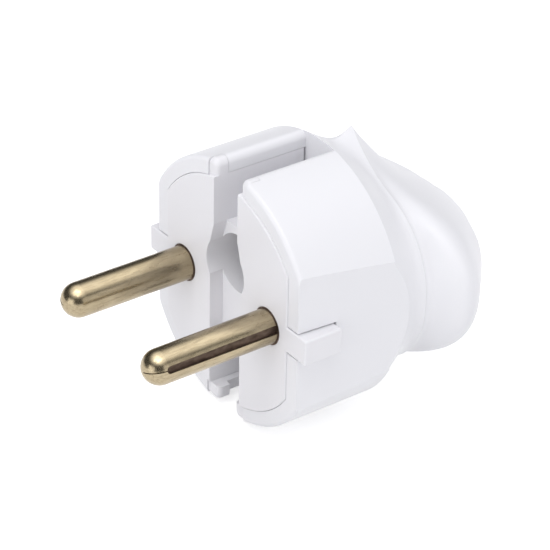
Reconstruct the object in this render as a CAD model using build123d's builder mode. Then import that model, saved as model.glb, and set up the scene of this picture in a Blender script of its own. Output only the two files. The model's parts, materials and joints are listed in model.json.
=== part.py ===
"""Two-pin mains plug that comes apart for wiring.

Frame, in millimetres: the origin lies on the engagement face, midway between the two pins.
The pins point along -Y and the tail along +Y. X runs across the pins, and Z is up.
"""
import os
from math import cos, pi, radians, sin

from build123d import *

# Pins
pin_pitch = 19.0
pin_diameter = 4.8
pin_reach = 19.0
pin_root_radius = 2.6
pin_clearance = 0.05
pin_collar_radius = 3.1
pin_collar_thickness = 0.6
pin_seam_base_width = 1.2
pin_seam_tip_width = 1.0
pin_seam_depth = 0.55
pin_seam_rise = 16.0
pin_seam_end = 16.4
pin_tip_slit = 0.14
pin_tip_slit_depth = 0.6
pin_tab_start = 10.6
pin_tab_width = 6.0
pin_tab_thickness = 1.2
pin_tab_end = 16.4

# Barrel, the round front of the shell
body_radius = 18.75
barrel_depth = 14.7
rim_setback = 0.2
rim_rounding = 0.6
flat_wall = 2.15
flat_spread_per_mm = 0.07
flat_end_depth = 19.0

# Tail, the grip behind the barrel
shoulder_step = 0.15
shoulder_depth = 16.0
shoulder_width_drop = 1.0
shoulder_height_drop = 1.15
waist_depth = 19.0
waist_width_drop = 2.2
waist_height_drop = 4.1
flare_depth = 24.7
flare_half_width = 20.7
flare_half_height = 11.7
taper_depth = 30.0
taper_half_width = 16.5
taper_half_height = 8.9
tail_depth = 35.0
outlet_half_width = 8.8
outlet_half_height = 5.2
tail_fullness = 2.5
shell_wall = 1.9
outlet_wall = 3.4

# Crest of the tail, above and below
crest_valley_depth = 17.4
crest_valley_drop = 1.05
crest_peak_depth = 20.1
crest_peak_rise = 0.25
crest_knee_depth = 22.2
crest_knee_height = 16.2
crest_fade_depth = 28.0
crest_lean = 0.45
crest_half_base = 8.5
crest_base_share = 0.62

# Pin carrier, the disc that closes the shell
rim_wall = 2.3
carrier_plate = 3.0
carrier_clearance = 0.05
carrier_edge = 0.25
tower_wall = 1.35
tower_margin = 0.1
tower_depth = 8.0
tab_stand = 1.9
tab_half_height = 1.83
tab_depth = 5.8
tab_clearance = 0.2
tab_rounding = 0.25

# Slot between the two halves of the face
slot_half_width = 2.65
slot_wall = 1.2
slot_mouth_rounding = 1.0
slot_end_gap = 0.3
lower_slot_end = 13.0
pocket_half_width = 3.45
pocket_top = 6.3
bridge_floor_depth = 2.1
bridge_top = 9.2
bridge_bottom = -7.4
bridge_back = 9.4
lower_lug_inner = 1.85
lug_outer = 4.2
lug_setback = 0.4
lug_depth = 1.9
lug_rounding = 0.8
lug_corner = 1.0
lug_clearance = 0.05

# Housing screw, with its seat in the bridge and its nut in the shell
screw_height = 3.8
seat_radius = 4.25
seat_depth = 7.0
seat_wall = 1.2
washer_radius = 3.2
washer_thickness = 0.6
screw_head_radius = 2.6
screw_head_height = 1.8
screw_head_rounding = 0.5
screw_radius = 1.5
screw_clearance = 0.2
screw_end = 20.8
thread_gap = 0.05
cross_width = 0.8
cross_length = 3.2
cross_depth = 1.1
nut_side = 5.5
nut_height = 2.4
nut_depth = 16.6
nut_clearance = 0.15
nut_hole_chamfer = 0.3
boss_half_width = 4.0
boss_end = 20.0

# Tongue of the carrier, cord clamp and cord outlet
tongue_half_width = 9.0
tongue_thickness = 3.1
tongue_end = 27.4
tongue_corner = 1.5
cord_space_radius = 3.0
cord_height = -3.4
cord_groove_start = 18.0
cord_outlet_radius = 3.6
cord_outlet_rounding = 0.7
clamp_depth = 24.3
clamp_width = 5.0
clamp_length = 17.0
clamp_bottom = -1.2
clamp_thickness = 1.8
clamp_corner = 0.8
clamp_screw_pitch = 13.0
clamp_screw_radius = 1.25
clamp_screw_overrun = 0.2
clamp_head_radius = 2.2
clamp_head_height = 1.5
clamp_nut_radius = 2.6
clamp_nut_height = 1.8

# Terminals on the pins' tabs
terminal_depth = 13.6
terminal_screw_radius = 1.5
terminal_screw_overrun = 0.8
terminal_head_radius = 2.6
terminal_head_height = 1.9
terminal_washer_side = 5.6
terminal_washer_thickness = 0.9
terminal_nut_side = 5.2
terminal_nut_height = 2.2
slot_recess_width = 0.8
slot_recess_depth = 0.8
small_rounding = 0.3

# How finely the tail is sectioned
side_points = 13
front_stations = 5
rear_stations = 8
hollow_stations = 8

# Sizes that follow from those above
pin_x = pin_pitch / 2
pin_radius = pin_diameter / 2
carrier_radius = body_radius - rim_wall - carrier_clearance
tower_radius = pin_root_radius + pin_clearance + tower_wall
carrier_flat_half_width = pin_x + tower_radius + tower_margin
flat_half_width = carrier_flat_half_width + carrier_clearance + flat_wall
tab_half_width = flat_half_width + tab_stand
lug_middle = (carrier_radius + body_radius) / 2
shoulder_half_width = body_radius - shoulder_width_drop
shoulder_half_height = body_radius - shoulder_height_drop
waist_half_width = body_radius - waist_width_drop
waist_half_height = body_radius - waist_height_drop
crest_valley_height = body_radius - crest_valley_drop
crest_peak_height = body_radius + crest_peak_rise
slot_wall_half_width = pocket_half_width + slot_wall
lug_end = lug_setback + lug_depth
tongue_bottom = bridge_bottom
tongue_top = tongue_bottom + tongue_thickness
hollow_end = tail_depth - outlet_wall
carrier_wall_end = barrel_depth - slot_end_gap
boss_bottom = screw_height - nut_side / 2 - nut_clearance
boss_top = body_radius
nut_pocket_end = nut_depth + nut_height + nut_clearance
washer_front = seat_depth - washer_thickness
screw_front = washer_front - screw_head_height
clamp_top = clamp_bottom + clamp_thickness
clamp_nut_bottom = tongue_bottom
clamp_screw_x = clamp_screw_pitch / 2
terminal_washer_top = pin_tab_thickness / 2 + terminal_washer_thickness
terminal_nut_bottom = -pin_tab_thickness / 2 - terminal_nut_height
beyond = 1.0


def across(depth):
    """The plane across the plug at a depth behind the face, with X sideways and Z up."""
    return Plane.XZ.offset(-depth)


def level(height):
    """The level plane at a height, with X sideways and the depth away from the pins."""
    return Plane.XY.offset(height)


def follow(outline, depth):
    """The value of an outline at a depth: a smooth curve through its (depth, value) points."""
    steps = [(b[1] - a[1]) / (b[0] - a[0]) for a, b in zip(outline, outline[1:])]
    inner = [0.0 if a * b <= 0 else 2 * a * b / (a + b) for a, b in zip(steps, steps[1:])]
    slopes = [2 * steps[0] - inner[0]] + inner + [2 * steps[-1] - inner[-1]]
    for a, b, slope_a, slope_b in zip(outline, outline[1:], slopes, slopes[1:]):
        if depth <= b[0]:
            break
    span = b[0] - a[0]
    t = (depth - a[0]) / span
    share_a = (1 + 2 * t) * (1 - t) ** 2
    turn_a = span * slope_a * t * (1 - t) ** 2
    turn_b = span * slope_b * t ** 2 * (1 - t)
    return share_a * a[1] + (1 - share_a) * b[1] + turn_a - turn_b


# Outlines of the tail: half-width in plan, half-height at its sides, and the crest in the middle
tail_start_radius = body_radius - shoulder_step
plan_outline = [
    (barrel_depth, tail_start_radius),
    (shoulder_depth, shoulder_half_width),
    (waist_depth, waist_half_width),
    (flare_depth, flare_half_width),
    (taper_depth, taper_half_width),
    (tail_depth, outlet_half_width),
]
side_outline = [
    (barrel_depth, tail_start_radius),
    (shoulder_depth, shoulder_half_height),
    (waist_depth, waist_half_height),
    (flare_depth, flare_half_height),
    (taper_depth, taper_half_height),
    (tail_depth, outlet_half_height),
]
front_crest = [
    (barrel_depth, tail_start_radius),
    (crest_valley_depth, crest_valley_height),
    (crest_peak_depth, crest_peak_height),
]
rear_crest = [
    (crest_peak_depth, crest_peak_height),
    (crest_knee_depth, crest_knee_height),
    (crest_fade_depth, follow(side_outline, crest_fade_depth)),
    (tail_depth, outlet_half_height),
]


def tail_section(depth, crest_height, inset):
    """Sketches the tail's section at a depth: full round sides, and a crest above and below."""
    half_width = follow(plan_outline, depth) - inset
    half_height = follow(side_outline, depth) - inset
    squareness = min((depth - barrel_depth) / (flare_depth - barrel_depth), 1)
    power = 2 + (tail_fullness - 2) * squareness
    base = min(crest_half_base, crest_base_share * half_width)
    sides = [base + (half_width - base) * sin(pi / 2 * n / (side_points - 1)) for n in range(side_points)]
    upper = [(x, half_height * max(1 - (x / half_width) ** power, 0) ** (1 / power)) for x in sides]
    lower = [(x, -z) for x, z in reversed(upper[:-1])]
    base_height = upper[0][1]
    slope = (half_height / base_height * base / half_width) ** (power - 1) * half_height / half_width
    crest = max(crest_height - inset, half_height)
    flank = (crest_lean * base, base_height + slope * (1 - crest_lean) * base)
    with BuildSketch(across(depth)) as section:
        with BuildLine():
            Bezier((0, crest), flank, upper[0])
            Spline(*upper, *lower, tangents=[(1, -slope), (-1, -slope)])
            Bezier(lower[-1], (flank[0], -flank[1]), (0, -crest))
            mirror(about=Plane.YZ)
        make_face()
    return section.sketch


def side_flats(half_width):
    """Sketches, in plan, what lies outside the two slanted side flats."""
    rear_half_width = half_width + flat_spread_per_mm * flat_end_depth
    outside = flare_half_width + beyond
    with BuildSketch(level(-body_radius)) as flats:
        with BuildLine():
            Polyline(
                (half_width, 0),
                (outside, 0),
                (outside, flat_end_depth),
                (rear_half_width, flat_end_depth),
                close=True,
            )
        make_face()
        mirror(about=Plane.YZ)
    return flats.sketch


# The space inside the shell, with the boss of the housing screw left out of it
with BuildPart() as hollow:
    with BuildSketch(across(-beyond)):
        Circle(carrier_radius + carrier_clearance)
        Rectangle(
            2 * (carrier_flat_half_width + carrier_clearance),
            2 * body_radius,
            mode=Mode.INTERSECT,
        )
    extrude(amount=-(barrel_depth + beyond))
    for station in range(hollow_stations):
        depth = barrel_depth + (hollow_end - barrel_depth) * station / (hollow_stations - 1)
        add(tail_section(depth, 0, shell_wall))
    loft()
    add(side_flats(flat_half_width - flat_wall))
    extrude(amount=2 * body_radius, mode=Mode.SUBTRACT)
    with BuildSketch(across(barrel_depth)):
        with Locations((0, (boss_bottom + boss_top) / 2)):
            Rectangle(2 * boss_half_width, boss_top - boss_bottom)
    extrude(amount=-(boss_end - barrel_depth), mode=Mode.SUBTRACT)

# Shell: the barrel with its slot, and the hollow tail with the outlet for the cord
with BuildPart() as shell:
    with BuildSketch(across(rim_setback)) as barrel_section:
        Circle(body_radius)
        Rectangle(2 * slot_half_width, 2 * (body_radius + beyond), mode=Mode.SUBTRACT)
        fillet(barrel_section.vertices(), radius=slot_mouth_rounding)
    extrude(amount=-(barrel_depth - rim_setback))
    fillet(shell.edges().group_by(Axis.Y)[0], radius=rim_rounding)
    for station in range(front_stations):
        depth = barrel_depth + (crest_peak_depth - barrel_depth) * station / (front_stations - 1)
        add(tail_section(depth, follow(front_crest, depth), 0))
    loft()
    for station in range(rear_stations):
        depth = crest_peak_depth + (tail_depth - crest_peak_depth) * station / (rear_stations - 1)
        add(tail_section(depth, follow(rear_crest, depth), 0))
    loft()
    add(side_flats(flat_half_width))
    extrude(amount=2 * body_radius, mode=Mode.SUBTRACT)
    add(hollow.part, mode=Mode.SUBTRACT)
    # Notches in the rim for the carrier's lugs and side tabs
    with BuildSketch(across(0)):
        Rectangle(2 * (lug_outer + lug_clearance), 2 * (body_radius + beyond))
    extrude(amount=-(lug_end + lug_clearance), mode=Mode.SUBTRACT)
    with BuildSketch(across(0)):
        Rectangle(2 * (body_radius + beyond), 2 * (tab_half_height + tab_clearance))
    extrude(amount=-(tab_depth + tab_clearance), mode=Mode.SUBTRACT)
    # Boss: the hole for the housing screw, and a pocket where the nut slides in from below
    with BuildSketch(across(barrel_depth)):
        with Locations((0, screw_height)):
            Circle(screw_radius + screw_clearance)
    extrude(amount=-(boss_end - barrel_depth), mode=Mode.SUBTRACT)
    with BuildSketch(across(nut_depth - nut_clearance)):
        with Locations((0, screw_height)):
            Rectangle(nut_side + 2 * nut_clearance, nut_side + 2 * nut_clearance)
    extrude(amount=-(nut_pocket_end - nut_depth + nut_clearance), mode=Mode.SUBTRACT)
    # Outlet for the cord
    with BuildSketch(across(hollow_end - beyond)):
        Circle(cord_outlet_radius)
    extrude(amount=-(outlet_wall + 2 * beyond), mode=Mode.SUBTRACT)
    outlet_edge = shell.edges().filter_by(GeomType.CIRCLE).sort_by(Axis.Y)[-1]
    fillet(outlet_edge, radius=cord_outlet_rounding)

# Bar across the face whose two ends are the side tabs
with BuildPart() as tab_bar:
    with BuildSketch(across(0)):
        Rectangle(2 * tab_half_width, 2 * tab_half_height)
    extrude(amount=-tab_depth)
    fillet(tab_bar.edges(), radius=tab_rounding)

# Lugs that key the face into the rim: the upper pair is flush with the slot, the lower reaches into it
with BuildPart() as lugs:
    with BuildSketch(across(lug_setback)) as lug_section:
        Circle(body_radius)
        Rectangle(2 * lug_outer, 2 * body_radius, mode=Mode.INTERSECT)
        Rectangle(2 * lower_lug_inner, 2 * body_radius, mode=Mode.SUBTRACT)
        with Locations((0, body_radius)):
            Rectangle(2 * slot_half_width, 2 * body_radius, mode=Mode.SUBTRACT)
        Circle(carrier_radius, mode=Mode.SUBTRACT)
        mouth_corners = lug_section.vertices().filter_by(
            lambda corner: abs(corner.X) < lug_outer - lug_corner and abs(corner.Y) > lug_middle
        )
        fillet(mouth_corners, radius=lug_corner)
    extrude(amount=-lug_depth)
    lug_arcs = lugs.edges().group_by(Axis.Y)[0].filter_by(GeomType.CIRCLE)
    fillet(lug_arcs.group_by(SortBy.RADIUS)[-1], radius=lug_rounding)

# Pin carrier: the face of the plug, with the pins' towers, the slot and the tongue for the clamp
with BuildPart() as pin_carrier:
    with BuildSketch(across(0)):
        Circle(carrier_radius)
        Rectangle(2 * carrier_flat_half_width, 2 * carrier_radius, mode=Mode.INTERSECT)
    extrude(amount=-carrier_plate)
    fillet(pin_carrier.edges().group_by(Axis.Y)[0], radius=carrier_edge)
    add(tab_bar.part)
    with BuildSketch(across(carrier_edge)):
        Circle(carrier_radius)
        Rectangle(2 * slot_wall_half_width, 2 * carrier_radius, mode=Mode.INTERSECT)
    extrude(amount=-(carrier_wall_end - carrier_edge))
    with BuildSketch(across(bridge_back)):
        with Locations((0, (tongue_top + bridge_top - slot_wall) / 2)):
            Rectangle(2 * body_radius, bridge_top - slot_wall - tongue_top)
    extrude(amount=-carrier_wall_end, mode=Mode.SUBTRACT)
    with BuildSketch(across(carrier_edge)):
        with Locations((0, (bridge_bottom + bridge_top) / 2)):
            Rectangle(2 * (seat_radius + seat_wall), bridge_top - bridge_bottom)
    extrude(amount=-(bridge_back - carrier_edge))
    with BuildSketch(across(carrier_edge)):
        with Locations((pin_x, 0), (-pin_x, 0)):
            Circle(tower_radius)
    extrude(amount=-(tower_depth - carrier_edge))
    with BuildSketch(level(tongue_bottom)):
        with Locations((0, (carrier_edge + tongue_end) / 2)):
            RectangleRounded(2 * tongue_half_width, tongue_end - carrier_edge, tongue_corner)
    extrude(amount=tongue_thickness)
    # The slot above and below the bridge
    with BuildSketch(across(0)):
        with Locations((0, (bridge_top + body_radius) / 2)):
            Rectangle(2 * slot_half_width, body_radius - bridge_top)
    extrude(amount=-barrel_depth, mode=Mode.SUBTRACT)
    with BuildSketch(across(0)):
        with Locations((0, (bridge_bottom - body_radius) / 2)):
            Rectangle(2 * pocket_half_width, body_radius + bridge_bottom)
    extrude(amount=-lower_slot_end, mode=Mode.SUBTRACT)
    # The sunken front of the bridge, and the seat of the housing screw
    with BuildSketch(across(0)):
        with BuildLine():
            Polyline(
                (0, bridge_bottom),
                (pocket_half_width, bridge_bottom),
                (pocket_half_width, pocket_top),
                (slot_half_width, bridge_top),
                (0, bridge_top),
                close=True,
            )
        make_face()
        mirror(about=Plane.YZ)
    extrude(amount=-bridge_floor_depth, mode=Mode.SUBTRACT)
    with BuildSketch(across(0)):
        with Locations((0, screw_height)):
            Circle(seat_radius)
    extrude(amount=-seat_depth, mode=Mode.SUBTRACT)
    with BuildSketch(across(0)):
        with Locations((0, screw_height)):
            Circle(screw_radius + screw_clearance)
    extrude(amount=-(bridge_back + beyond), mode=Mode.SUBTRACT)
    # Bores for the pins
    with BuildSketch(across(0)):
        with Locations((pin_x, 0), (-pin_x, 0)):
            Circle(pin_root_radius + pin_clearance)
    extrude(amount=-(tower_depth + beyond), mode=Mode.SUBTRACT)
    add(lugs.part)
    # Seat for the cord, screw holes and nut pockets in the tongue
    with BuildSketch(across(cord_groove_start)):
        with Locations((0, cord_height)):
            Circle(cord_space_radius)
    extrude(amount=-tongue_end, mode=Mode.SUBTRACT)
    with BuildSketch(level(tongue_bottom)):
        with Locations((clamp_screw_x, clamp_depth), (-clamp_screw_x, clamp_depth)):
            Circle(clamp_screw_radius + screw_clearance)
    extrude(amount=tongue_thickness, mode=Mode.SUBTRACT)
    with BuildSketch(level(tongue_bottom)):
        with Locations((clamp_screw_x, clamp_depth), (-clamp_screw_x, clamp_depth)):
            RegularPolygon(radius=clamp_nut_radius + nut_clearance, side_count=6)
    extrude(amount=clamp_nut_height, mode=Mode.SUBTRACT)

# Pin on the near side: a rod with a pressed seam along it, a dome at the tip and a flattened tab at the root
with BuildPart() as pin_near:
    with BuildSketch(Plane.XY):
        with BuildLine():
            Polyline(
                (0, tower_depth + pin_collar_thickness),
                (pin_collar_radius, tower_depth + pin_collar_thickness),
                (pin_collar_radius, tower_depth),
                (pin_root_radius, tower_depth),
                (pin_root_radius, 0),
                (pin_radius, 0),
                (pin_radius, pin_radius - pin_reach),
            )
            RadiusArc((pin_radius, pin_radius - pin_reach), (0, -pin_reach), pin_radius)
            Line((0, -pin_reach), (0, tower_depth + pin_collar_thickness))
        make_face()
    revolve(axis=Axis.Y)
    seam_facing = (cos(radians(pin_seam_rise)), 0, sin(radians(pin_seam_rise)))
    slit_facing = (-sin(radians(pin_seam_rise)), 0, cos(radians(pin_seam_rise)))
    seam_plane = Plane(origin=(0, 0, 0), x_dir=(0, -1, 0), z_dir=seam_facing)
    with BuildSketch(seam_plane.offset(pin_radius - pin_seam_depth)):
        with BuildLine():
            Polyline(
                (0, pin_seam_base_width / 2),
                (pin_seam_end, pin_seam_tip_width / 2),
                (pin_seam_end, -pin_seam_tip_width / 2),
                (0, -pin_seam_base_width / 2),
                close=True,
            )
        make_face()
        with Locations((pin_seam_end, 0)):
            Circle(pin_seam_tip_width / 2)
    extrude(amount=pin_seam_depth + beyond, mode=Mode.SUBTRACT)
    # The seam runs on over the dome as a fine slit
    slit_profile = Plane(origin=(0, 0, 0), x_dir=(0, -1, 0), z_dir=slit_facing)
    with BuildSketch(slit_profile):
        with BuildLine():
            Polyline(
                (pin_seam_end, pin_radius - pin_tip_slit_depth),
                (pin_seam_end, pin_radius + beyond),
                (pin_reach + beyond, pin_radius + beyond),
                (pin_reach + beyond, 0),
                (pin_reach - pin_tip_slit_depth, 0),
            )
            RadiusArc(
                (pin_reach - pin_tip_slit_depth, 0),
                (pin_reach - pin_radius, pin_radius - pin_tip_slit_depth),
                -(pin_radius - pin_tip_slit_depth),
            )
            Line(
                (pin_reach - pin_radius, pin_radius - pin_tip_slit_depth),
                (pin_seam_end, pin_radius - pin_tip_slit_depth),
            )
        make_face()
    extrude(amount=pin_tip_slit / 2, both=True, mode=Mode.SUBTRACT)
    with BuildSketch(across(tower_depth + pin_collar_thickness)):
        Circle(pin_root_radius)
    with BuildSketch(across(pin_tab_start)):
        Rectangle(pin_tab_width, pin_tab_thickness)
    loft()
    with BuildSketch(across(pin_tab_start)):
        Rectangle(pin_tab_width, pin_tab_thickness)
    extrude(amount=-(pin_tab_end - pin_tab_start))
    with BuildSketch(level(-pin_tab_thickness)):
        with Locations((0, terminal_depth)):
            Circle(terminal_screw_radius + screw_clearance)
    extrude(amount=2 * pin_tab_thickness, mode=Mode.SUBTRACT)
    pin_near.part = pin_near.part.moved(Location((pin_x, 0, 0)))

# Pin on the far side, the mirror image of the near one
with BuildPart() as pin_far:
    mirror(pin_near.part, about=Plane.YZ)

# Terminal screw: slotted head above the tab, clamping the wire under the square washer
with BuildPart() as terminal_screw_near:
    with BuildSketch(level(terminal_washer_top)):
        with Locations((pin_x, terminal_depth)):
            Circle(terminal_head_radius)
    extrude(amount=terminal_head_height)
    fillet(terminal_screw_near.edges().group_by(Axis.Z)[-1], radius=small_rounding)
    with BuildSketch(level(terminal_washer_top + terminal_head_height - slot_recess_depth)):
        with Locations((pin_x, terminal_depth)):
            Rectangle(2 * terminal_head_radius + beyond, slot_recess_width)
    extrude(amount=slot_recess_depth, mode=Mode.SUBTRACT)
    with BuildSketch(level(terminal_nut_bottom - terminal_screw_overrun)):
        with Locations((pin_x, terminal_depth)):
            Circle(terminal_screw_radius)
    extrude(amount=terminal_washer_top - terminal_nut_bottom + terminal_screw_overrun)
    chamfer(terminal_screw_near.edges().group_by(Axis.Z)[0], length=small_rounding)

with BuildPart() as terminal_screw_far:
    mirror(terminal_screw_near.part, about=Plane.YZ)

# Square clamping washer between the tab and the screw's head
with BuildPart() as clamp_washer_near:
    with BuildSketch(level(pin_tab_thickness / 2)):
        with Locations((pin_x, terminal_depth)):
            RectangleRounded(terminal_washer_side, terminal_washer_side, small_rounding)
            Circle(terminal_screw_radius + screw_clearance, mode=Mode.SUBTRACT)
    extrude(amount=terminal_washer_thickness)

with BuildPart() as clamp_washer_far:
    mirror(clamp_washer_near.part, about=Plane.YZ)

# Square nut under the tab
with BuildPart() as terminal_nut_near:
    with BuildSketch(level(terminal_nut_bottom)):
        with Locations((pin_x, terminal_depth)):
            Rectangle(terminal_nut_side, terminal_nut_side)
            Circle(terminal_screw_radius + thread_gap, mode=Mode.SUBTRACT)
    extrude(amount=terminal_nut_height)
    chamfer(terminal_nut_near.edges().filter_by(GeomType.CIRCLE).group_by(Axis.Z)[0], length=nut_hole_chamfer)

with BuildPart() as terminal_nut_far:
    mirror(terminal_nut_near.part, about=Plane.YZ)

# Housing screw, from the bridge of the carrier into the boss of the shell
with BuildPart() as housing_screw:
    with BuildSketch(across(screw_front)):
        with Locations((0, screw_height)):
            Circle(screw_head_radius)
    extrude(amount=-screw_head_height)
    fillet(housing_screw.edges().group_by(Axis.Y)[0], radius=screw_head_rounding)
    with BuildSketch(across(screw_front)):
        with Locations((0, screw_height)):
            Rectangle(cross_length, cross_width)
            Rectangle(cross_width, cross_length)
    extrude(amount=-cross_depth, mode=Mode.SUBTRACT)
    with BuildSketch(across(washer_front)):
        with Locations((0, screw_height)):
            Circle(screw_radius)
    extrude(amount=-(screw_end - washer_front))
    chamfer(housing_screw.edges().group_by(Axis.Y)[-1], length=small_rounding)

# Washer on the floor of the seat
with BuildPart() as housing_washer:
    with BuildSketch(across(washer_front)):
        with Locations((0, screw_height)):
            Circle(washer_radius)
            Circle(screw_radius + screw_clearance, mode=Mode.SUBTRACT)
    extrude(amount=-washer_thickness)

# Square nut in the pocket of the boss
with BuildPart() as housing_nut:
    with BuildSketch(across(nut_depth)):
        with Locations((0, screw_height)):
            Rectangle(nut_side, nut_side)
            Circle(screw_radius + thread_gap, mode=Mode.SUBTRACT)
    extrude(amount=-nut_height)
    chamfer(housing_nut.edges().filter_by(GeomType.CIRCLE).group_by(Axis.Y)[0], length=nut_hole_chamfer)

# Bar of the cord clamp, across the tongue
with BuildPart() as cord_clamp_bar:
    with BuildSketch(level(clamp_bottom)):
        with Locations((0, clamp_depth)):
            RectangleRounded(clamp_length, clamp_width, clamp_corner)
    extrude(amount=clamp_thickness)
    fillet(cord_clamp_bar.edges().group_by(Axis.Z)[-1], radius=small_rounding)
    with BuildSketch(across(clamp_depth - clamp_width)):
        with Locations((0, cord_height)):
            Circle(cord_space_radius)
    extrude(amount=-2 * clamp_width, mode=Mode.SUBTRACT)
    with BuildSketch(level(clamp_bottom)):
        with Locations((clamp_screw_x, clamp_depth), (-clamp_screw_x, clamp_depth)):
            Circle(clamp_screw_radius + screw_clearance)
    extrude(amount=clamp_thickness, mode=Mode.SUBTRACT)

# Screw of the cord clamp
with BuildPart() as cord_clamp_screw_near:
    with BuildSketch(level(clamp_top)):
        with Locations((clamp_screw_x, clamp_depth)):
            Circle(clamp_head_radius)
    extrude(amount=clamp_head_height)
    fillet(cord_clamp_screw_near.edges().group_by(Axis.Z)[-1], radius=small_rounding)
    with BuildSketch(level(clamp_top + clamp_head_height - slot_recess_depth)):
        with Locations((clamp_screw_x, clamp_depth)):
            Rectangle(2 * clamp_head_radius + beyond, slot_recess_width)
    extrude(amount=slot_recess_depth, mode=Mode.SUBTRACT)
    with BuildSketch(level(clamp_nut_bottom - clamp_screw_overrun)):
        with Locations((clamp_screw_x, clamp_depth)):
            Circle(clamp_screw_radius)
    extrude(amount=clamp_top - clamp_nut_bottom + clamp_screw_overrun)

with BuildPart() as cord_clamp_screw_far:
    mirror(cord_clamp_screw_near.part, about=Plane.YZ)

# Hexagon nut of the cord clamp, in its pocket under the tongue
with BuildPart() as cord_clamp_nut_near:
    with BuildSketch(level(clamp_nut_bottom)):
        with Locations((clamp_screw_x, clamp_depth)):
            RegularPolygon(radius=clamp_nut_radius, side_count=6)
            Circle(clamp_screw_radius + thread_gap, mode=Mode.SUBTRACT)
    extrude(amount=clamp_nut_height)
    chamfer(cord_clamp_nut_near.edges().filter_by(GeomType.CIRCLE).group_by(Axis.Z)[0], length=nut_hole_chamfer)

with BuildPart() as cord_clamp_nut_far:
    mirror(cord_clamp_nut_near.part, about=Plane.YZ)

shell.part.label = "shell"
pin_carrier.part.label = "pin_carrier"
pin_near.part.label = "pin_near"
pin_far.part.label = "pin_far"
terminal_screw_near.part.label = "terminal_screw_near"
terminal_screw_far.part.label = "terminal_screw_far"
clamp_washer_near.part.label = "clamp_washer_near"
clamp_washer_far.part.label = "clamp_washer_far"
terminal_nut_near.part.label = "terminal_nut_near"
terminal_nut_far.part.label = "terminal_nut_far"
housing_screw.part.label = "housing_screw"
housing_washer.part.label = "housing_washer"
housing_nut.part.label = "housing_nut"
cord_clamp_bar.part.label = "cord_clamp_bar"
cord_clamp_screw_near.part.label = "cord_clamp_screw_near"
cord_clamp_screw_far.part.label = "cord_clamp_screw_far"
cord_clamp_nut_near.part.label = "cord_clamp_nut_near"
cord_clamp_nut_far.part.label = "cord_clamp_nut_far"

os.makedirs("parts", exist_ok=True)
export_step(shell.part, "parts/shell.step")
export_step(pin_carrier.part, "parts/pin_carrier.step")
export_step(pin_near.part, "parts/pin_near.step")
export_step(pin_far.part, "parts/pin_far.step")
export_step(terminal_screw_near.part, "parts/terminal_screw_near.step")
export_step(terminal_screw_far.part, "parts/terminal_screw_far.step")
export_step(clamp_washer_near.part, "parts/clamp_washer_near.step")
export_step(clamp_washer_far.part, "parts/clamp_washer_far.step")
export_step(terminal_nut_near.part, "parts/terminal_nut_near.step")
export_step(terminal_nut_far.part, "parts/terminal_nut_far.step")
export_step(housing_screw.part, "parts/housing_screw.step")
export_step(housing_washer.part, "parts/housing_washer.step")
export_step(housing_nut.part, "parts/housing_nut.step")
export_step(cord_clamp_bar.part, "parts/cord_clamp_bar.step")
export_step(cord_clamp_screw_near.part, "parts/cord_clamp_screw_near.step")
export_step(cord_clamp_screw_far.part, "parts/cord_clamp_screw_far.step")
export_step(cord_clamp_nut_near.part, "parts/cord_clamp_nut_near.step")
export_step(cord_clamp_nut_far.part, "parts/cord_clamp_nut_far.step")
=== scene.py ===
# %% [markdown]
# # A mains plug, dressed and lit for its portrait
# The plug's pieces were made as solids first, at their real size. Here they get their looks: white
# moulded plastic, dull brass and plated steel. A camera is put where the photographer's was, and soft
# lamps give light like the picture's. The first step loads the solids. They are a fixed frame that
# nothing here moves or changes.

# %% Load the plug's solids
import json
import math

import bmesh
import bpy
from mathutils import Matrix, Vector


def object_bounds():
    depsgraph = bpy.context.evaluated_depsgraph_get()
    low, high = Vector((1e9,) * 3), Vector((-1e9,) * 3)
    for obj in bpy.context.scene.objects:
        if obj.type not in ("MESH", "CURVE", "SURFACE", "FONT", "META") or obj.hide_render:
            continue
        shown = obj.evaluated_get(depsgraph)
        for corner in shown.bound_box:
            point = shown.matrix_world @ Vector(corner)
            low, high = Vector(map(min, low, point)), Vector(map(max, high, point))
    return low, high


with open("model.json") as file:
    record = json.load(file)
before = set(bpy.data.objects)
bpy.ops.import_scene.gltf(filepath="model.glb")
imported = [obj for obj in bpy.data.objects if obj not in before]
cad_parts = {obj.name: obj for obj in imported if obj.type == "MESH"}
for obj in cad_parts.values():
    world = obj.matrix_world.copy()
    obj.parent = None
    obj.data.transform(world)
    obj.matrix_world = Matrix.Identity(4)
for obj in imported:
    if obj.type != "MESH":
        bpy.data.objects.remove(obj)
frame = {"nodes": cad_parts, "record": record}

cad_box = [list(corner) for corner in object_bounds()]
nodes = frame["nodes"]
print(f"{len(nodes)} pieces, from {cad_box[0]} to {cad_box[1]} metres")

# %% [markdown]
# ## Camera
# The camera was fitted to points measured in the picture, such as the ends of the pins, whose
# real size is known. The plug is seen from its front right, from above, with a long lens. The place of
# the camera follows from the distance and from where the middle of the plug's face lies in the picture.
# The camera isn't aimed at the plug with a constraint, because the face is off the middle of the picture,
# and an aimed camera would centre it. The picture's width is in pixels, the sensor's in millimetres and
# the distances in metres. The Standard view shows white as plain white, as the picture does.

# %% Place the camera
PICTURE = 550
SENSOR = 36
FOCAL_PIXELS = 2410
AZIMUTH = math.radians(53.39)
ELEVATION = math.radians(31.67)
ROLL = math.radians(1.24)
DISTANCE = 0.316
FACE_PIXEL = (224.78, 293.37)
NEAREST_SEEN = 0.01


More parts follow.
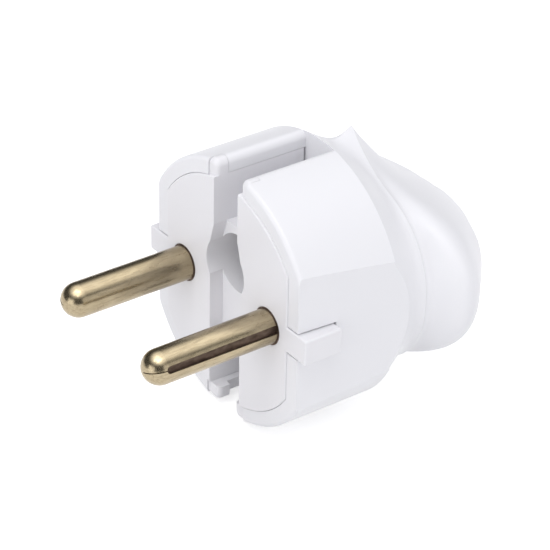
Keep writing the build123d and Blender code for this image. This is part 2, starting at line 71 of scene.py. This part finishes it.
def camera_matrix():
    """The camera's place, with the middle of the plug's face at FACE_PIXEL."""
    back = Vector((
        math.sin(AZIMUTH) * math.cos(ELEVATION),
        -math.cos(AZIMUTH) * math.cos(ELEVATION),
        math.sin(ELEVATION),
    ))
    level_right = Vector((math.cos(AZIMUTH), math.sin(AZIMUTH), 0))
    level_up = back.cross(level_right)
    right = math.cos(ROLL) * level_right + math.sin(ROLL) * level_up
    up = math.cos(ROLL) * level_up - math.sin(ROLL) * level_right
    metres_per_pixel = DISTANCE / FOCAL_PIXELS
    across = (FACE_PIXEL[0] - PICTURE / 2) * metres_per_pixel
    above = (PICTURE / 2 - FACE_PIXEL[1]) * metres_per_pixel
    eye = back * DISTANCE - right * across - up * above
    turned = Matrix((right, up, back)).transposed().to_4x4()
    return Matrix.Translation(eye) @ turned


scene = bpy.context.scene
lens = bpy.data.cameras.new("camera")
lens.sensor_width = SENSOR
lens.lens = FOCAL_PIXELS / PICTURE * SENSOR
lens.clip_start = NEAREST_SEEN
camera = bpy.data.objects.new("camera", lens)
scene.collection.objects.link(camera)
camera.matrix_world = camera_matrix()
scene.camera = camera
scene.view_settings.view_transform = "Standard"
print(f"lens {lens.lens:.0f} mm, camera at {[round(v, 3) for v in camera.matrix_world.translation]}")

# %% [markdown]
# ## Nodes
# In Blender a material and the surroundings are networks of nodes. They could be drawn by hand in the
# editor, but a script can be read and run again. One helper makes a node with all its settings, so that
# the cells below read as a list of nodes, followed by a list of what is joined to what.

# %% A helper for networks of nodes
def node(tree, kind, **settings):
    """A new shader node with its settings, and its inputs set by name."""
    made = tree.nodes.new(kind)
    for name, value in settings.items():
        if name in made.inputs:
            made.inputs[name].default_value = value
        else:
            setattr(made, name, value)
    return made


print("a helper for nodes is ready")

# %% [markdown]
# ## Floor
# The picture has a plain white ground and hardly any shadow, as in a catalogue. A single flat face is
# enough for it, laid a hair below the plug so that the two never share a surface.

# %% Lay the floor
FLOOR_GAP = 0.0002
FLOOR_HALF = 2.0

floor_height = cad_box[0][2] - FLOOR_GAP
sheet = bmesh.new()
bmesh.ops.create_grid(sheet, x_segments=1, y_segments=1, size=FLOOR_HALF)
bmesh.ops.translate(sheet, verts=sheet.verts, vec=(0, 0, floor_height))
floor_mesh = bpy.data.meshes.new("floor")
sheet.to_mesh(floor_mesh)
sheet.free()
floor = bpy.data.objects.new("floor", floor_mesh)
scene.collection.objects.link(floor)
print(f"floor of {floor.dimensions.x:.0f} m, {-floor_height * 1000:.1f} mm below the pins' axes")

# %% [markdown]
# ## Floor paint
# A floor that the lamps light alone would turn grey, and more light would burn out the white plastic. So
# the floor glows white, but only for rays that see it directly, from the camera or by a mirror. The rays
# that only carry light find plain grey paint, so the glow lights nothing.

# %% Paint the floor
WHITE = (1, 1, 1, 1)
FLOOR_GREY = (0.8, 0.8, 0.8, 1)
FLOOR_GLOW = 0.55


def seen_directly(tree):
    """1 for rays from the camera, and for those that reach it by a mirror or through glass."""
    path = node(tree, "ShaderNodeLightPath")
    total = path.outputs["Is Camera Ray"]
    for ray in ("Is Glossy Ray", "Is Transmission Ray"):
        either = node(tree, "ShaderNodeMath", operation="MAXIMUM")
        tree.links.new(total, either.inputs[0])
        tree.links.new(path.outputs[ray], either.inputs[1])
        total = either.outputs[0]
    return total


floor_paint = bpy.data.materials.new("floor_paint")
floor_paint.use_nodes = True
tree = floor_paint.node_tree
tree.nodes.clear()
matt = node(tree, "ShaderNodeBsdfDiffuse", Color=FLOOR_GREY)
glow = node(tree, "ShaderNodeEmission", Color=WHITE, Strength=FLOOR_GLOW)
both = node(tree, "ShaderNodeAddShader")
choose = node(tree, "ShaderNodeMixShader")
floor_out = node(tree, "ShaderNodeOutputMaterial")
tree.links.new(matt.outputs[0], both.inputs[0])
tree.links.new(glow.outputs[0], both.inputs[1])
tree.links.new(seen_directly(tree), choose.inputs["Fac"])
tree.links.new(matt.outputs[0], choose.inputs[1])
tree.links.new(both.outputs[0], choose.inputs[2])
tree.links.new(choose.outputs[0], floor_out.inputs["Surface"])
floor_mesh.materials.append(floor_paint)
print("a grey floor that is seen white")

# %% [markdown]
# ## Surroundings
# White plastic needs even light from all around, while brass needs something dark to mirror, or it looks
# like yellow plastic. One plain sky can't give both, so each kind of ray gets its own: pale walls light
# the plastic, a dark room with a bright ceiling is what the metal mirrors, and the camera sees plain
# white.

# %% Surround the plug
WALL_COLOUR = (0.97, 0.97, 1, 1)
WALL_STRENGTH = 0.75
MIRRORED_STRENGTH = 2.3
MIRRORED_DARK = 0.035
DARK_UP_TO = 0.60
BRIGHT_FROM = 0.90

world = bpy.data.worlds.new("studio")
scene.world = world
world.use_nodes = True
tree = world.node_tree
tree.nodes.clear()
walls = node(tree, "ShaderNodeBackground", Color=WALL_COLOUR, Strength=WALL_STRENGTH)
mirrored = node(tree, "ShaderNodeBackground", Strength=MIRRORED_STRENGTH)
white = node(tree, "ShaderNodeBackground", Color=WHITE, Strength=1.0)
direction = node(tree, "ShaderNodeTexCoord")
height = node(tree, "ShaderNodeSeparateXYZ")
ceiling = node(tree, "ShaderNodeValToRGB")
dark_end, bright_end = ceiling.color_ramp.elements
dark_end.position = DARK_UP_TO
dark_end.color = (MIRRORED_DARK, MIRRORED_DARK, MIRRORED_DARK, 1)
bright_end.position = BRIGHT_FROM
bright_end.color = WHITE
print(f"pale walls of strength {WALL_STRENGTH}, and a bright ceiling for the metal")

# %% Give each kind of ray its surroundings
mirror_or_matt = node(tree, "ShaderNodeMixShader")
camera_or_not = node(tree, "ShaderNodeMixShader")
world_out = node(tree, "ShaderNodeOutputWorld")
path = node(tree, "ShaderNodeLightPath")
tree.links.new(direction.outputs["Generated"], height.inputs[0])
tree.links.new(height.outputs["Z"], ceiling.inputs["Fac"])
tree.links.new(ceiling.outputs["Color"], mirrored.inputs["Color"])
tree.links.new(path.outputs["Is Glossy Ray"], mirror_or_matt.inputs["Fac"])
tree.links.new(walls.outputs[0], mirror_or_matt.inputs[1])
tree.links.new(mirrored.outputs[0], mirror_or_matt.inputs[2])
tree.links.new(path.outputs["Is Camera Ray"], camera_or_not.inputs["Fac"])
tree.links.new(mirror_or_matt.outputs[0], camera_or_not.inputs[1])
tree.links.new(white.outputs[0], camera_or_not.inputs[2])
tree.links.new(camera_or_not.outputs[0], world_out.inputs["Surface"])
print(f"{len(tree.links)} links join the surroundings")

# %% [markdown]
# ## Lamps
# The picture's light comes from above and from the right, and the face is a little darker than the top.
# Three large square lamps give it. A large lamp has soft edges to its shadows, and a small one would draw
# a hard shadow of each pin, which the picture doesn't have.

# %% Hang the lamps
def lamp(name, place, size, power):
    """A square soft lamp that faces the middle of the plug."""
    light = bpy.data.lights.new(name, "AREA")
    light.shape = "SQUARE"
    light.size = size
    light.energy = power
    holder = bpy.data.objects.new(name, light)
    scene.collection.objects.link(holder)
    place = Vector(place)
    holder.matrix_world = Matrix.Translation(place) @ place.to_track_quat("Z", "Y").to_matrix().to_4x4()
    return holder


lamps = [
    lamp("overhead_lamp", place=(0.06, -0.12, 0.42), size=0.30, power=0.68),
    lamp("side_lamp", place=(0.42, 0.10, 0.12), size=0.30, power=0.30),
    lamp("front_lamp", place=(0.06, -0.5, 0.04), size=0.35, power=0.66),
]
print(f"{len(lamps)} lamps with {sum(holder.data.energy for holder in lamps):.2f} W in all")

# %% [markdown]
# ## Finishes
# Every finish is a network of nodes around one Principled shader. Its patterns read the surface's own
# Object coordinates, so that they stay on the piece from any side. Small helpers come first: a noise
# pattern, some arithmetic, a colour that follows a pattern, and bumps. With them each finish is a few
# lines long.

# %% Helpers for patterns
def finish(name, **settings):
    """A material with one Principled shader, its node tree and the shader."""
    material = bpy.data.materials.new(name)
    material.use_nodes = True
    tree = material.node_tree
    shader = tree.nodes["Principled BSDF"]
    for socket, value in settings.items():
        shader.inputs[socket.replace("_", " ")].default_value = value
    return material, tree, shader


def grain(tree, scale, stretch=(1, 1, 1), detail=4):
    """A noise pattern over the piece, its scale per metre, longer along an axis with a low stretch."""
    place = node(tree, "ShaderNodeTexCoord")
    turn = node(tree, "ShaderNodeMapping", Scale=stretch)
    noise = node(tree, "ShaderNodeTexNoise", Scale=scale, Detail=detail)
    tree.links.new(place.outputs["Object"], turn.inputs["Vector"])
    tree.links.new(turn.outputs["Vector"], noise.inputs["Vector"])
    return noise.outputs["Fac"]


def calculate(tree, operation, first, second=0.0, third=0.0):
    """One step of arithmetic on values or other nodes' outputs."""
    step = node(tree, "ShaderNodeMath", operation=operation)
    for socket, value in zip(step.inputs, (first, second, third)):
        if isinstance(value, (int, float)):
            socket.default_value = value
        else:
            tree.links.new(value, socket)
    return step.outputs[0]


def spread(tree, value, low, high):
    """A pattern of 0 to 1 spread from low to high."""
    return calculate(tree, "MULTIPLY_ADD", value, high - low, low)


print("helpers for patterns are ready")

# %% Helpers for colours and bumps
NOISE_LOW = 0.3
NOISE_HIGH = 0.7


def tint(tree, noise, first, second):
    """A colour that goes from first to second over the range that most of a noise pattern lies in."""
    ramp = node(tree, "ShaderNodeValToRGB")
    low_end, high_end = ramp.color_ramp.elements
    low_end.position = NOISE_LOW
    low_end.color = (*first, 1)
    high_end.position = NOISE_HIGH
    high_end.color = (*second, 1)
    tree.links.new(noise, ramp.inputs["Fac"])
    return ramp.outputs["Color"]


def relief(tree, shader, value, height, strength):
    """Bumps on the surface, height in metres."""
    bump = node(tree, "ShaderNodeBump", Strength=strength, Distance=height)
    tree.links.new(value, bump.inputs["Height"])
    tree.links.new(bump.outputs["Normal"], shader.inputs["Normal"])


print("helpers for colours and bumps are ready")

# %% [markdown]
# ## White plastic
# The shell and the carrier look like a hard white plastic with a soft gloss. A flat colour would look
# like paper. A moulded surface has faint flow marks, a gloss that isn't the same everywhere, and shallow
# waves that only show in its reflections, so each of the three gets its own noise. The clamp bar inside
# is duller.

# %% Mix the white plastic
SHELL_LIGHT = (0.80, 0.80, 0.825)
SHELL_SHADE = (0.79, 0.79, 0.815)
CARRIER_LIGHT = (0.79, 0.785, 0.81)
CARRIER_SHADE = (0.775, 0.77, 0.795)
CLAMP_LIGHT = (0.70, 0.70, 0.70)
CLAMP_SHADE = (0.66, 0.66, 0.66)
PLASTIC_IOR = 1.5
PLASTIC_SHINE = 0.22
FLOW_SCALE = 45
GLOSS_SCALE = 180
WAVE_SCALE = 500
WAVE_HEIGHT = 0.000004
WAVE_STRENGTH = 0.2
SOFT_GLOSS = (0.30, 0.40)
SATIN = (0.40, 0.50)


def moulded_plastic(name, light, shade, roughness):
    """Hard plastic: nearly even colour, faint flow marks, and a surface that isn't quite flat."""
    material, tree, shader = finish(name, IOR=PLASTIC_IOR, Specular_IOR_Level=PLASTIC_SHINE)
    flow = grain(tree, FLOW_SCALE, detail=2)
    tree.links.new(tint(tree, flow, shade, light), shader.inputs["Base Color"])
    tree.links.new(spread(tree, grain(tree, GLOSS_SCALE), *roughness), shader.inputs["Roughness"])
    relief(tree, shader, grain(tree, WAVE_SCALE, detail=1), WAVE_HEIGHT, WAVE_STRENGTH)
    return material


shell_plastic = moulded_plastic("shell_plastic", SHELL_LIGHT, SHELL_SHADE, SOFT_GLOSS)
carrier_plastic = moulded_plastic("carrier_plastic", CARRIER_LIGHT, CARRIER_SHADE, SOFT_GLOSS)
clamp_plastic = moulded_plastic("clamp_plastic", CLAMP_LIGHT, CLAMP_SHADE, SATIN)
print("white plastic for the shell, the carrier and the clamp")

# %% [markdown]
# ## Painted shade on the pins
# Each pin has a seam pressed along its side, as the near one shows. Its floor is painted dark brown as
# painted shade, for the shaded inside of the rolled pin that shows through the seam, and a thin dark line
# of painted shadow lies where the pin leaves the face. The shade could be painted by hand, but a mask
# that is worked out from places on the pin is exact. On the outside of a pin, only the seam and the dome
# lie nearer to its axis than its radius, and the dome is left out by its place along the pin. Both pins
# share one mask, because the sideways place is read without its sign. The mask's edges are soft, because
# shade has no sharp edge.

# %% Find the seam and the root of a pin
SEAM_SHADE_DEPTHS = (0.00006, 0.00025)
SEAM_END_DEPTHS = (0.0003, 0.0001)
ROOT_LINE = (-0.00025, -0.00005)

mounts = {mount["name"]: mount for mount in frame["record"]["mounts"]}
pin_x = mounts["pin_near"]["pos_m"][0]
pin_radius = mounts["pin_near"]["dims"]["r_mm"] / 1000
dome_start = cad_box[0][1] + pin_radius
seam_radii = [pin_radius - depth for depth in SEAM_SHADE_DEPTHS]
seam_end = [dome_start - depth for depth in SEAM_END_DEPTHS]


def fade(tree, value, start, end):
    """0 where the value is at start, 1 where it is at end, and a soft step between."""
    ramp = node(tree, "ShaderNodeMapRange", interpolation_type="SMOOTHSTEP")
    tree.links.new(value, ramp.inputs["Value"])
    ramp.inputs["From Min"].default_value = start
    ramp.inputs["From Max"].default_value = end
    return ramp.outputs["Result"]


def from_pin_axis(tree, place):
    """How far a point is from the axis of the pin on its side of the plug."""
    sideways = calculate(tree, "SUBTRACT", calculate(tree, "ABSOLUTE", place.outputs["X"]), pin_x)
    across = calculate(tree, "MULTIPLY", sideways, sideways)
    above = calculate(tree, "MULTIPLY", place.outputs["Z"], place.outputs["Z"])
    return calculate(tree, "SQRT", calculate(tree, "ADD", across, above))


print(f"pins of radius {pin_radius * 1000:.1f} mm, seams up to {-dome_start * 1000:.1f} mm from the face")

# %% Mask the painted shade
def painted_pin_shade(tree):
    """1 in the seam and where the pin leaves the face, and 0 elsewhere."""
    coordinates = node(tree, "ShaderNodeTexCoord")
    place = node(tree, "ShaderNodeSeparateXYZ")
    tree.links.new(coordinates.outputs["Object"], place.inputs[0])
    in_seam = fade(tree, from_pin_axis(tree, place), *seam_radii)
    before_dome = fade(tree, place.outputs["Y"], *seam_end)
    at_root = fade(tree, place.outputs["Y"], *ROOT_LINE)
    return calculate(tree, "MAXIMUM", calculate(tree, "MULTIPLY", in_seam, before_dome), at_root)


# This prints the painted shadow line at the face and the painted shade in the seam.
print(f"dirt for the last {-ROOT_LINE[0] * 1000:.2f} mm at the face and all of the seam")

# %% [markdown]
# ## Brass of the pins
# The pins are pale, dull brass, stained in patches and finely scratched along their length, as sockets
# scratch them. A brushed look could come from an anisotropic shader, but real scratches break up the
# highlight too. So one stretched noise gives the scratches, and it darkens the colour, dulls the gloss
# and cuts the surface at once. Colours are mixed by a Mix node, which has inputs and outputs of one name
# for numbers, vectors and colours, so those for colours are picked by their place.

# %% A helper to mix two colours
MIX_COLOUR_INPUTS = (6, 7)
MIX_COLOUR_OUTPUT = 2


def blend(tree, share, first, second):
    """The first colour where the share is 0, and the second where it is 1."""
    mix = node(tree, "ShaderNodeMix", data_type="RGBA")
    tree.links.new(share, mix.inputs["Factor"])
    for number, colour in zip(MIX_COLOUR_INPUTS, (first, second)):
        socket = mix.inputs[number]
        if isinstance(colour, tuple):
            socket.default_value = (*colour, 1)
        else:
            tree.links.new(colour, socket)
    return mix.outputs[MIX_COLOUR_OUTPUT]


print("a helper for mixed colours is ready")

# %% Mix the brass of the pins
STAIN_SCALE = 220
SCRATCH_SCALE = 3600
SCRATCH_STRETCH = (1, 0.16, 1)
SCRATCH_RANGE = (0.40, 0.70)
SCRATCH_SHARE = 0.55
SPECK_SCALE = 3000
SPECK_SHARE = 0.8
# Noise pattern and gloss of the painted shade in the seam and at the pin's root.
PAINTED_SHADE_SCALE = 1500
PAINTED_SHADE_STRETCH = (1, 0.5, 1)
PIN_ROUGHNESS = (0.19, 0.33)
PAINTED_SHADE_ROUGHNESS = 0.35
CUT_HEIGHT = 0.000012
CUT_STRENGTH = 0.35
STAINED_BRASS = (0.36, 0.295, 0.19)
CLEAN_BRASS = (0.46, 0.385, 0.26)
SCRATCHED_BRASS = (0.27, 0.215, 0.135)
# Dark browns of the painted shade in the seam and of the painted shadow where the pin leaves the face.
DEEP_PAINTED_SHADE = (0.085, 0.058, 0.045)
PALE_PAINTED_SHADE = (0.21, 0.155, 0.12)


def pin_metal():
    """Dull brass: scratched along the pin, dark in the seam and where it leaves the face."""
    material, tree, shader = finish("pin_brass", Metallic=1.0)
    scratches = grain(tree, SCRATCH_SCALE, SCRATCH_STRETCH, detail=6)
    specks = grain(tree, SPECK_SCALE)
    scratched = calculate(tree, "MULTIPLY", fade(tree, scratches, *SCRATCH_RANGE), SCRATCH_SHARE)
    metal = tint(tree, grain(tree, STAIN_SCALE, detail=5), STAINED_BRASS, CLEAN_BRASS)
    metal = blend(tree, scratched, metal, SCRATCHED_BRASS)
    # Painted shade: the seam and the pin's root get a dark brown colour and more roughness.
    painted_shade = tint(tree, grain(tree, PAINTED_SHADE_SCALE, PAINTED_SHADE_STRETCH, detail=6), DEEP_PAINTED_SHADE, PALE_PAINTED_SHADE)
    painted_shade_share = painted_pin_shade(tree)
    tree.links.new(blend(tree, painted_shade_share, metal, painted_shade), shader.inputs["Base Color"])
    roughness = spread(tree, scratches, *PIN_ROUGHNESS)
    roughness = calculate(tree, "MULTIPLY_ADD", painted_shade_share, PAINTED_SHADE_ROUGHNESS, roughness)
    tree.links.new(roughness, shader.inputs["Roughness"])
    cuts = calculate(tree, "MULTIPLY_ADD", specks, SPECK_SHARE, scratches)
    relief(tree, shader, cuts, CUT_HEIGHT, CUT_STRENGTH)
    return material


pin_brass = pin_metal()
print("brass for the pins")

# %% [markdown]
# ## Small metal parts
# The terminals are stamped brass and the screws are plated with zinc. They are small and mostly hidden,
# so one function serves both: two shades in patches, a gloss that changes with the pits, and the pits
# themselves.

# %% Mix the metal of the terminals and screws
BRASS_LIGHT = (0.66, 0.50, 0.26)
BRASS_SHADE = (0.54, 0.38, 0.18)
BRASS_ROUGHNESS = (0.25, 0.40)
ZINC_LIGHT = (0.70, 0.70, 0.68)
ZINC_SHADE = (0.55, 0.55, 0.53)
ZINC_ROUGHNESS = (0.22, 0.38)
PATCH_SCALE = 160
PIT_SCALE = 900
PIT_HEIGHT = 0.00001
PIT_STRENGTH = 0.5


def pitted_metal(name, light, shade, roughness):
    """Metal with patches of two shades and fine pits."""
    material, tree, shader = finish(name, Metallic=1.0)
    tree.links.new(tint(tree, grain(tree, PATCH_SCALE), shade, light), shader.inputs["Base Color"])
    pits = grain(tree, PIT_SCALE)
    tree.links.new(spread(tree, pits, *roughness), shader.inputs["Roughness"])
    relief(tree, shader, pits, PIT_HEIGHT, PIT_STRENGTH)
    return material


terminal_brass = pitted_metal("terminal_brass", BRASS_LIGHT, BRASS_SHADE, BRASS_ROUGHNESS)
screw_steel = pitted_metal("screw_steel", ZINC_LIGHT, ZINC_SHADE, ZINC_ROUGHNESS)
print("brass for the terminals, zinc for the screws")

# %% [markdown]
# ## Dressing
# The record names a finish for each piece. A material could be chosen by hand for each one, but a loop
# over the record can't forget a piece. The finish goes into the slot that the piece already has.

# %% Put each finish on its pieces
finishes = {
    "shell_plastic": shell_plastic,
    "carrier_plastic": carrier_plastic,
    "clamp_plastic": clamp_plastic,
    "pin_brass": pin_brass,
    "terminal_brass": terminal_brass,
    "screw_steel": screw_steel,
}
for part in frame["record"]["subparts"]:
    piece = nodes[part["node"]]
    piece.material_slots[0].material = finishes[part["material_slot"]]
    print(part["node"], "wears", part["material_slot"], "on", len(piece.data.polygons), "faces")
